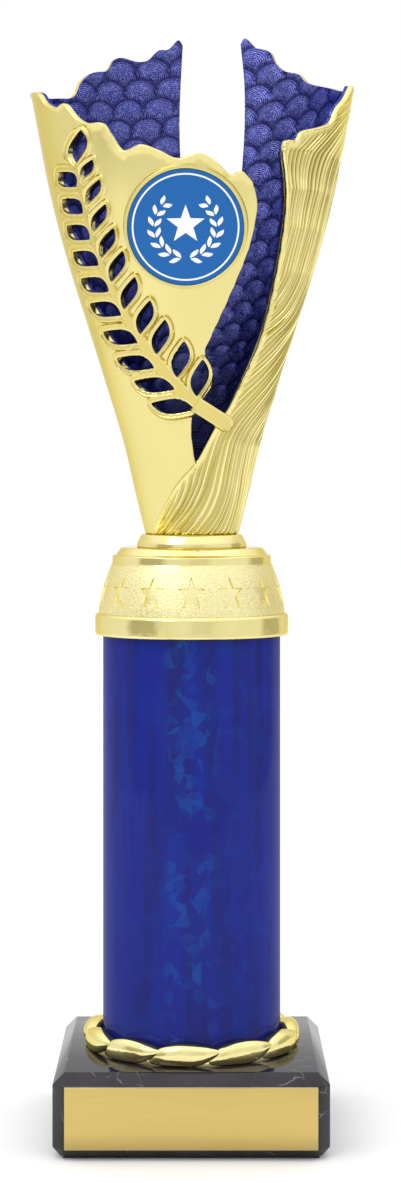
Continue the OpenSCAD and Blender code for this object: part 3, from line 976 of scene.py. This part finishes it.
def fan_arcs(step):
    """Points along the top of every fan, as [azimuth, height]."""
    found = []
    limit = math.asin(min(1, 0.5 / fan_r)) + 0.05
    for j in range(-6, 34):
        for i in range(-2, fan_count + 14):
            turn = (i + fan_shift * j) * 2 * pi / fan_count
            s = j * fan_pitch + fan_rise * turn
            if not (0 < turn < 2 * pi and 0 < s < SIDE_S[-1]):
                continue
            width = fan_width(height_at(s))
            r = width * fan_r
            t = np.arange(-limit, limit, step / r)
            for scale in (0.90, 1.0, 1.08):
                dx, dy = scale * r * np.sin(t), scale * r * np.cos(t)
                found.append(points_of(-(turn + dx / width * 2 * pi / fan_count), height_at(s + dy)))
    return cat(found)


def cup_liner():
    """Blue lining of both shells, embossed inside with rows of fans."""
    right = np.array([-2 * pi, 0])
    a_low, a_high, plain_top = -2 * pi - 0.6, 0.8, 30
    loop = chain([
        slot_left, front_seam[::-1], np.array([front_seam[0], front_seam[0] + right]),
        front_seam + right, slot_right + right, wave_rim + right, back_rim_right[::-1] + right,
        back_slot_right[::-1] + right, back_slot_left[::-1], back_rim_left[::-1], front_rim], rim_step)
    loops = [loop, *LEAVES]
    edge_tree = loop_tree(loop)
    arcs = fan_arcs(0.5)
    arcs = arcs[(arcs[:, 1] > plain_top) & (arcs[:, 1] < cup_top)]
    q, gap = fans(arcs)
    arcs = arcs[(q > 0.86) | (gap < 0.5)]
    coarse = fill(0.95, plain_top, cup_top, a_low, a_high)
    q, gap = fans(coarse)
    coarse = coarse[(q < 0.84) & (gap > 0.45)]
    extra = cat([arcs, coarse, fill(2.4, 1, plain_top, a_low, a_high)])
    extra = extra[within(extra, loops)]
    extra = extra[(gap_to(LEAF_TREE, extra) > 0.25) & (gap_to(edge_tree, extra) > 0.3)]
    extra = extra[thin_out(on_cup(extra), 0.16)]
    ah = cat([*loops, extra])
    faces = cup_faces(loops, extra)

    q, gap = fans(ah)
    dome = (1 - q**4) * ramp(gap, 0.0, 0.9)
    edge = np.minimum(gap_to(edge_tree, ah), gap_to(LEAF_TREE, ah))
    relief = 0.28 * dome * ramp(edge, 0.2, 0.8)
    inner = on_cup(ah, -shell_wall - liner_wall - relief)
    # Painted light and shade on the fans: brighter towards each fan's edge, painted shade in the grooves
    # between them.
    light = np.clip(dome * (0.35 + 0.65 * np.clip(q * 1.15, 0, 1) ** 1.5), 0, 1)
    # Painted shade: darker towards the foot of the cup.
    light *= 0.30 + 0.70 * ramp(ah[:, 1], 20, 62)
    outer_faces, outer = plain_side(loops, edge_tree, a_low, a_high, -shell_wall - 0.01)
    shape = solid_shell(loops, outer_faces, outer, faces, inner)
    shade = shades(len(shape[0]), 0.5, light, len(outer))
    shade[len(outer):, 1] = q
    return shape, shade


def thin_out(points, gap):
    """Indices of points of which no two are closer than a gap."""
    tree = tree_of(points)
    keep = np.ones(len(points), bool)
    for i, p in enumerate(points):
        if keep[i]:
            keep[[j for _, j, _ in tree.find_range(p, gap) if j > i]] = False
    return keep.nonzero()[0]


# ------ star cap and foot
star_count = 14
star_r = 2.9
star_tall = 1.3
star_depth = 0.4
star_height = 10
band_r = 19.7
bore_r = 3.25
BAND = curve([[21.1, 4.9], [20.9, 7], [19.7, 12], [18.2, 15.8]], 8)


def star(r, waist, tall=1.0):
    """The ten corners of a five-pointed star, drawn out upwards."""
    a = np.radians(90 + 36 * np.arange(10))
    k = np.where(np.arange(10) % 2 == 0, r, waist)
    return points_of(k * np.cos(a), tall * k * np.sin(a))


def star_outline(grow, per_side=5):
    """One of the cap's stars, moved outwards by so much, with more points along its sides."""
    p = star(star_r, 0.42 * star_r, star_tall) * (1 + grow / star_r)
    steps = np.arange(per_side)[:, None] / per_side
    return cat([p[i] + (p[(i + 1) % 10] - p[i]) * steps for i in range(10)])


def star_band():
    """Conical band with stars pressed into it, and which of its faces belong to a star."""
    path = path_length(BAND)
    half = pi / star_count
    centre = np.interp(star_height, BAND[:, 1], path)
    across = np.linspace(-half, half, 17) * band_r
    up = np.linspace(0, path[-1], 14)
    frame_loop = cat([points_of(across[:-1], 0), points_of(across[-1], up[:-1]),
                      points_of(across[:0:-1], up[-1]), points_of(across[0], up[:0:-1])])
    base, top = (star_outline(grow) + [0, centre] for grow in (0.16, -0.16))
    grid = grid_2d(np.arange(-6, 6, 0.6), np.arange(0.5, path[-1] - 0.3, 0.6))
    grid = grid[np.abs(grid[:, 0]) < half * band_r - 0.4]
    grid = grid[distance(flat_3d(grid), tree_of(flat_3d(cat([base, top])))) > 0.35]
    faces = triangles([frame_loop, base, top], grid, 1e-7)
    points = cat([frame_loop, base, top, grid])
    star_face = inside(points[faces].mean(1), base)
    pressed = inside(points, top)
    pressed[len(frame_loop) + len(base):][:len(top)] = True
    lift = np.where(pressed, -star_depth, 0.0)
    r = np.interp(points[:, 1], path, BAND[:, 0]) + lift * 0.96
    z = np.interp(points[:, 1], path, BAND[:, 1]) + rim_z + lift * 0.25
    parts = [(polar(points[:, 0] / band_r + i * 2 * half, r, z), faces) for i in range(star_count)]
    return join(*parts), np.tile(star_face, star_count)


def star_cap():
    """Stepped cap: mirror rim, stippled star band and two mirror steps, hollow over the tube."""
    band, star_face = star_band()
    skirt = column_r + 0.15
    seat = high("column_wrap") - rim_z
    below = fillet([[20.25, 0], [21.6, 0], [22, 0.4], [21.95, 4.3], [21.5, 4.85]], [0.1, 0.3, 0.3, 0.45, 0])
    above = fillet([[18.2, 15.8], [18.0, 16.25], [17.95, 17.9], [17.15, 18.15], [16.9, 18.5], [16.1, 19.55],
                    [15.7, 19.7], [bore_r, 19.7], [bore_r, 18.1], [15.2, 17.2], [17, 8]],
                   [0, 0.15, 0.35, 0.2, 0.2, 0.5, 0.3, 0, 0, 1, 0])
    rest = np.array([[17.0, 7.0], [17.0, seat], [skirt, seat], [skirt, 0.2]])
    turn = turns(16 * star_count) - pi / star_count
    body = rings([polar(turn, r, z + rim_z) for r, z in cat([above, rest, below, BAND[:1]])])
    return join(body, band), cat([np.zeros(len(body[1]), int), np.where(star_face, 2, 1)])


def cup_foot():
    spigot = high("cup_foot")
    return lathe(fillet([[bore_r, foot_z], [12.4, foot_z], [12.4, foot_z + 0.9], [11.5, foot_z + 2.7],
                         [11.1, foot_z + 3], [8.6, foot_z + 3], [8.6, spigot], [bore_r, spigot]],
                        [0, 0.15, 0.4, 0.35, 0.2, 0, 0.2, 0]), 160)


# ------ leaf ring
leaf_count = 11
first_leaf = math.radians(-59)
leaf_sweep = math.radians(43.5)


def leaf_ring():
    """Collar with a floor, and lapped leaves wound round it like a rope."""
    base, around = stone_top, 24
    # Upper and lower edges of a leaf seen from the side, as [share of its length, height]
    upper = curve([[0, 0.8], [0.08, 2.6], [0.22, 4.2], [0.4, 4.95], [0.56, 5.1], [0.72, 4.85], [0.88, 4.2],
                   [1, 3.4]], 6)
    lower = curve([[0, 0.1], [0.3, 0.0], [0.6, 0.0], [0.74, 0.55], [0.88, 1.75], [1, 3.05]], 6)
    t = cat([[0, 0.015, 0.04], np.linspace(0.08, 0.92, 22), [0.96, 0.985, 1]])[:, None]
    z_high, z_low = (np.interp(t, edge[:, 0], edge[:, 1]) for edge in (upper, lower))
    c, s = np.cos(turns(around)), np.sin(turns(around))
    pinch = np.abs(c) ** np.where(s < 0, 0.4, 0.85) * np.sign(c)
    wide = 2.25 * np.minimum(1, np.sqrt(np.clip(4.6 * t * (1.03 - t) + 0.02, 0, 1)))
    r = 22.15 + 0.5 * (t - 0.35) + wide * pinch
    z = base + (z_high + z_low) / 2 + (z_high - z_low) / 2 * np.abs(s) ** 0.9 * np.sign(s)
    parts = []
    for i in range(leaf_count):
        turn = first_leaf + i * 2 * pi / leaf_count + t * leaf_sweep
        points, faces = rings(polar(turn, r, np.maximum(z, base + 0.02)))
        ends = [tuple(range(around - 1, -1, -1)), tuple(range(len(points) - around, len(points)))]
        parts.append((points, faces + ends))
    collar = fillet([[bore_r, base], [23.3, base], [23.2, base + 2], [22.2, base + 2.9],
                     [20.5, base + 2.9], [20.5, base + 1], [bore_r, base + 1]],
                    [0, 0.1, 0.6, 0.6, 0.3, 0, 0])
    return join(*parts, lathe(collar, 132))


# ------ column, base and plate
def column_wrap():
    """Foil wrap, lapped over itself up the back."""
    inner, z0, z1 = column_r - 0.2, low("column_wrap"), high("column_wrap")
    outline = fillet([[inner, z0], [column_r, z0], [column_r, z1], [inner, z1]], [0, 0.05, 0.05, 0])
    lap = math.radians(14)
    return lathe(outline, 180, lambda turn: np.where(np.mod(turn - pi, 2 * pi) < lap, 0.06, 0.0))


def bevelled(bm, offset, segments):
    """Points and faces of a block with its edges rounded."""
    bmesh.ops.bevel(bm, geom=bm.edges, offset=offset, segments=segments, profile=0.5, affect="EDGES")
    bm.verts.index_update()
    shape = (np.array([v.co[:] for v in bm.verts]), [tuple(v.index for v in f.verts) for f in bm.faces])
    bm.free()
    return shape


def engraving_plate():
    lows, highs = ([v / MM for v in corner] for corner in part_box("engraving_plate"))
    bm = bmesh.new()
    bmesh.ops.create_cube(bm, size=1.0)
    for v in bm.verts:
        v.co = Vector([lows[k] if v.co[k] < 0 else highs[k] for k in range(3)])
    return bevelled(bm, 0.12, 3)


def marble_base():
    """Stone with a sloping top edge, cut corners and a chamfered foot, its arrises just softened."""
    top_bevel, bottom_bevel, corner = 2.6, 1.8, 2.2
    rows = [(stone_top, top_bevel, top_bevel), (stone_low, bottom_bevel, bottom_bevel)]
    for z in (stone_low + bottom_bevel, stone_top - top_bevel):
        rows += [(z, corner, 0), (z, 0, corner)]
    bm = bmesh.new()
    for z, cut_x, cut_y in rows:
        for sx in (-1, 1):
            for sy in (-1, 1):
                bm.verts.new((sx * (stone_half - cut_x), sy * (stone_half - cut_y), z))
    bmesh.ops.convex_hull(bm, input=bm.verts)
    bmesh.ops.dissolve_limit(bm, angle_limit=math.radians(2), verts=bm.verts, edges=bm.edges)
    return bevelled(bm, 0.22, 2)


# ------ disc and its holder
def on_disc(points):
    """From the disc's own frame, whose z is the way the print faces, to the trophy's."""
    turn = Matrix.Rotation(pi / 2 + disc_tilt, 3, "X")
    return points @ np.array(turn).T + [disc_x, -disc_face, cup_z + disc_h]


def depth_to_cup(x, y):
    """Depth in the disc's frame at which the line below a point of its face meets the cup."""
    bottom, top = np.full(x.shape, -14.0), np.full(x.shape, 1.0)
    for _ in range(40):
        z = (bottom + top) / 2
        p = on_disc(points_of(x, y, z))
        sunk = np.hypot(p[:, 0], p[:, 1]) < radius(p[:, 2] - cup_z)
        bottom, top = np.where(sunk, z, bottom), np.where(sunk, top, z)
    return (bottom + top) / 2


def disc_holder():
    """Round frame standing on the cup, flared where it meets it, with a recess for the disc."""
    turn = turns(144)
    c, s = np.cos(turn), np.sin(turn)
    flare = 0.3
    on_side = depth_to_cup(holder_r * c, holder_r * s)
    rows = [(r, depth_to_cup(r * c, r * s) - 0.05) for r in (0.01, 5, 9, 11.5)]
    rows.append((holder_r + flare, depth_to_cup((holder_r + 0.25) * c, (holder_r + 0.25) * s) - 0.08))
    rows += [(holder_r + flare * (1 - t) ** 2, np.minimum(on_side + 0.45 * t, -0.5))
             for t in (0.25, 0.5, 0.75, 1)]
    rows += list(fillet([[holder_r, -0.45], [holder_r, 0], [disc_r + 0.06, 0], [disc_r + 0.06, -0.5]],
                        [0, 0.38, 0.34, 0])[1:])
    rows += [(r, -disc_recess) for r in (disc_r + 0.04, 6, 0.01)]
    points, faces = rings([points_of(r * c, r * s, z) for r, z in rows])
    return on_disc(points), faces


def emblem_loops():
    """Generic print for the disc: a star between two laurel sprigs, as closed outlines."""
    loops = [star(4.3, 1.75) + [0, 0.5]]
    for side in (-1, 1):
        for i in range(7):
            u = i / 6
            at = math.radians(-72 + 122 * u)
            for r, lean in ((7.55, -32), (6.0, 28)):
                k = leaf(2.6 - 0.5 * u, 0.95, math.degrees(at) + lean, 20)
                k += [r * math.cos(at), r * math.sin(at)]
                loops.append(k if side == 1 else (k * [-1, 1])[::-1])
    return loops


def centre_disc():
    """Printed disc, with the print as its own regions of the face."""
    turn = turns(144)
    circle = points_of(np.cos(turn), np.sin(turn))
    edge_r, line_out, line_in = disc_r - 0.12, 11.57, 11.2
    emblem = emblem_loops()
    loops = [circle * edge_r, circle * line_out, circle * line_in, *emblem]
    grid = grid_2d(np.arange(-12, 12.1, 1.2), np.arange(-12, 12.1, 1.2))
    clear = distance(flat_3d(grid), tree_of(flat_3d(cat(loops)))) > 0.4
    grid = grid[(np.hypot(*grid.T) < 11.9) & clear]
    faces = triangles(loops, grid, 1e-7)
    flat = cat([*loops, grid])
    middle = flat[faces].mean(1)
    r = np.hypot(*middle.T)
    white = (r < line_out) & (r > line_in)
    for k in emblem:
        white |= inside(middle, k)
    top = disc_gap + disc_t - disc_recess
    rim = rings([flat_3d(circle * r, z) for r, z in (
        (edge_r, top), (disc_r - 0.03, top - 0.04), (disc_r, top - 0.14), (disc_r, top - disc_t),
        (0.01, top - disc_t))])
    points, all_faces = join((flat_3d(flat, top), faces), rim)
    return (on_disc(points), all_faces), cat([white.astype(int), np.zeros(len(rim[1]), int)])


# ------ fasteners seen from above and below
def hex_nut(node):
    """Chamfered hexagon nut with its bore."""
    z0, z1 = low(node), high(node)
    flat_r = 5.6 * math.cos(pi / 6)
    turn = turns(72)
    hexagon = flat_r / np.cos(np.mod(turn, pi / 3) - pi / 6)
    cut = (hexagon - flat_r) * 0.55
    return rings([polar(turn, r, z) for r, z in (
        (3.0, z0), (3.4, z0), (flat_r - 0.1, z0 + 0.05), (hexagon, z0 + 0.5 + cut),
        (hexagon, z1 - 0.5 - cut), (flat_r - 0.1, z1 - 0.05), (3.4, z1), (3.0, z1 - 0.3), (3.0, z0))])


def tie_rod():
    """Long rod, threaded for a little way at both ends."""
    z0, z1, rod_r = low("tie_rod"), high("tie_rod"), high("tie_rod", 0)
    pitch, depth = 1.0, 0.28
    turn = turns(24)
    threads = cat([np.arange(z0 + 0.4, z0 + 12, pitch / 5), np.arange(z1 - 14, z1 - 0.4, pitch / 5)])
    rows = [(0.01, z0), (rod_r - 0.5, z0)]
    rows += [(rod_r - depth * np.abs(2 * np.mod(z / pitch - turn / (2 * pi), 1) - 1), z) for z in threads]
    return rings([polar(turn, r, z) for r, z in rows + [(rod_r - 0.5, z1), (0.01, z1)]])


# ------ build everything
shape, shade = smooth_shell()
make_piece("smooth_shell_gold", shape, [SATIN], ["smooth_shell"], shade=shade)
shape, shade = wave_shell()
make_piece("wave_shell_gold", shape, [WAVE], ["wave_shell"], 60, shade=shade)
shape, shade = cup_liner()
make_piece("cup_liner_blue", shape, [LINER], ["cup_liner"], 50, shade=shade)
shape, marks = star_cap()
make_piece("star_cap_gold", shape, [MIRROR, STIPPLE, STAR], ["star_cap"], 30, marks)
make_piece("cup_foot_gold", cup_foot(), [MIRROR], ["cup_foot"])
make_piece("rope_ring_gold", leaf_ring(), [MIRROR], ["rope_ring"], 45)
make_piece("column_wrap_foil", column_wrap(), [FOIL], ["column_wrap"])
make_piece("marble_base_stone", marble_base(), [STONE], ["marble_base"], 20)
make_piece("engraving_plate_gold", engraving_plate(), [PLATE], ["engraving_plate"], 50)
make_piece("disc_holder_gold", disc_holder(), [HOLDER], ["disc_holder"])
shape, marks = centre_disc()
make_piece("centre_disc_print", shape, [BLUE_INK, WHITE_INK], ["centre_disc"], 38, marks)
for node, shape in (("cup_nut", hex_nut("cup_nut")), ("base_nut", hex_nut("base_nut")),
                    ("tie_rod", tie_rod())):
    make_piece(node + "_steel", shape, [STEEL], [node], 25)

plain = {
    "base_felt": felt(),
    "plate_tape": moulded("plate_tape_film", (0.75, 0.75, 0.70)),
    "disc_tape": moulded("disc_tape_film", (0.75, 0.75, 0.70)),
    "base_spring_washer": steel("spring_steel", 0.42),
    "base_washer": STEEL,
    "cup_washer": STEEL,
    "lower_plug": moulded("plug_black", (0.03, 0.03, 0.035)),
    "upper_plug": moulded("plug_black_upper", (0.03, 0.03, 0.035)),
    "column_tube": moulded("tube_white", (0.72, 0.72, 0.74)),
}
for node, material in plain.items():
    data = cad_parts[node].data
    data.materials.clear()
    data.materials.append(material)

# ------ floor, light and camera
floor_mesh = bpy.data.meshes.new("floor")
floor_mesh.from_pydata([(-0.7, -0.42, 0), (0.7, -0.42, 0), (0.7, 3, 0), (-0.7, 3, 0)], [], [(0, 1, 2, 3)])
floor = bpy.data.objects.new("floor", floor_mesh)
floor_finish = Finish("floor_white", (0.90, 0.90, 0.90), 0.0, 0.8, Specular_IOR_Level=0.1)
floor_finish.colour(floor_finish.mix(floor_finish.noise(60), (0.895,) * 3, (0.905,) * 3))
floor_mesh.materials.append(floor_finish.material)
scene.collection.objects.link(floor)

world = bpy.data.worlds.new("studio")
scene.world = world
world.use_nodes = True

# White all round and brighter overhead, with a few dim, warm gaps low down between the lights.
# Each gap's start or end is given as (azimuth in degrees, how dim from there on)
GAPS = [(-180, 0), (-84, 0), (-74, 0.45), (-46, 0.4), (-36, 0.05), (-8, 0), (4, 0.15), (20, 0.15), (32, 0),
        (88, 0), (98, 0.4), (122, 0.4), (134, 0), (180, 0)]
sky = Nodes(world.node_tree)
x, y, z = sky.split(sky.node("ShaderNodeTexCoord").outputs["Generated"])
azimuth = sky.maths("ARCTAN2", x, sky.times(y, -1.0))
dim = sky.curve_between(sky.remap(azimuth, 0, 1, -pi, pi), [((a + 180) / 360, v) for a, v in GAPS])
dim = sky.times(sky.times(dim, sky.remap(z, 1, 0, 0.25, 0.5)), sky.remap(z, 0, 1, -0.22, -0.08))
glow = sky.maths("SUBTRACT", sky.remap(z, 1.0, 1.5, 0.35, 0.95), dim)
background = sky.tree.nodes["Background"].inputs
sky.tree.links.new(sky.mix(dim, (1.0, 1.0, 1.0), (1.0, 0.86, 0.42)), background["Color"])
sky.tree.links.new(glow, background["Strength"])

key_data = bpy.data.lights.new("key", "AREA")
key_data.shape = "RECTANGLE"
key_data.size = key_data.size_y = 0.8
key_data.energy = 3.5
key = bpy.data.objects.new("key", key_data)
key.location = (-0.7, -0.8, 1.1)
key.rotation_euler = (Vector((0, 0, cup_z * MM)) - key.location).to_track_quat("-Z", "Y").to_euler()
scene.collection.objects.link(key)

cam_data = bpy.data.cameras.new("camera")
cam_data.lens = 75.35
cam_data.sensor_width = 36
cam_data.shift_y = -0.1154
camera = bpy.data.objects.new("camera", cam_data)
camera.location = (0.002, -0.570, 0.1504)
camera.rotation_euler = (pi / 2, 0, 0)
scene.collection.objects.link(camera)
scene.camera = camera
scene.view_settings.view_transform = "Standard"
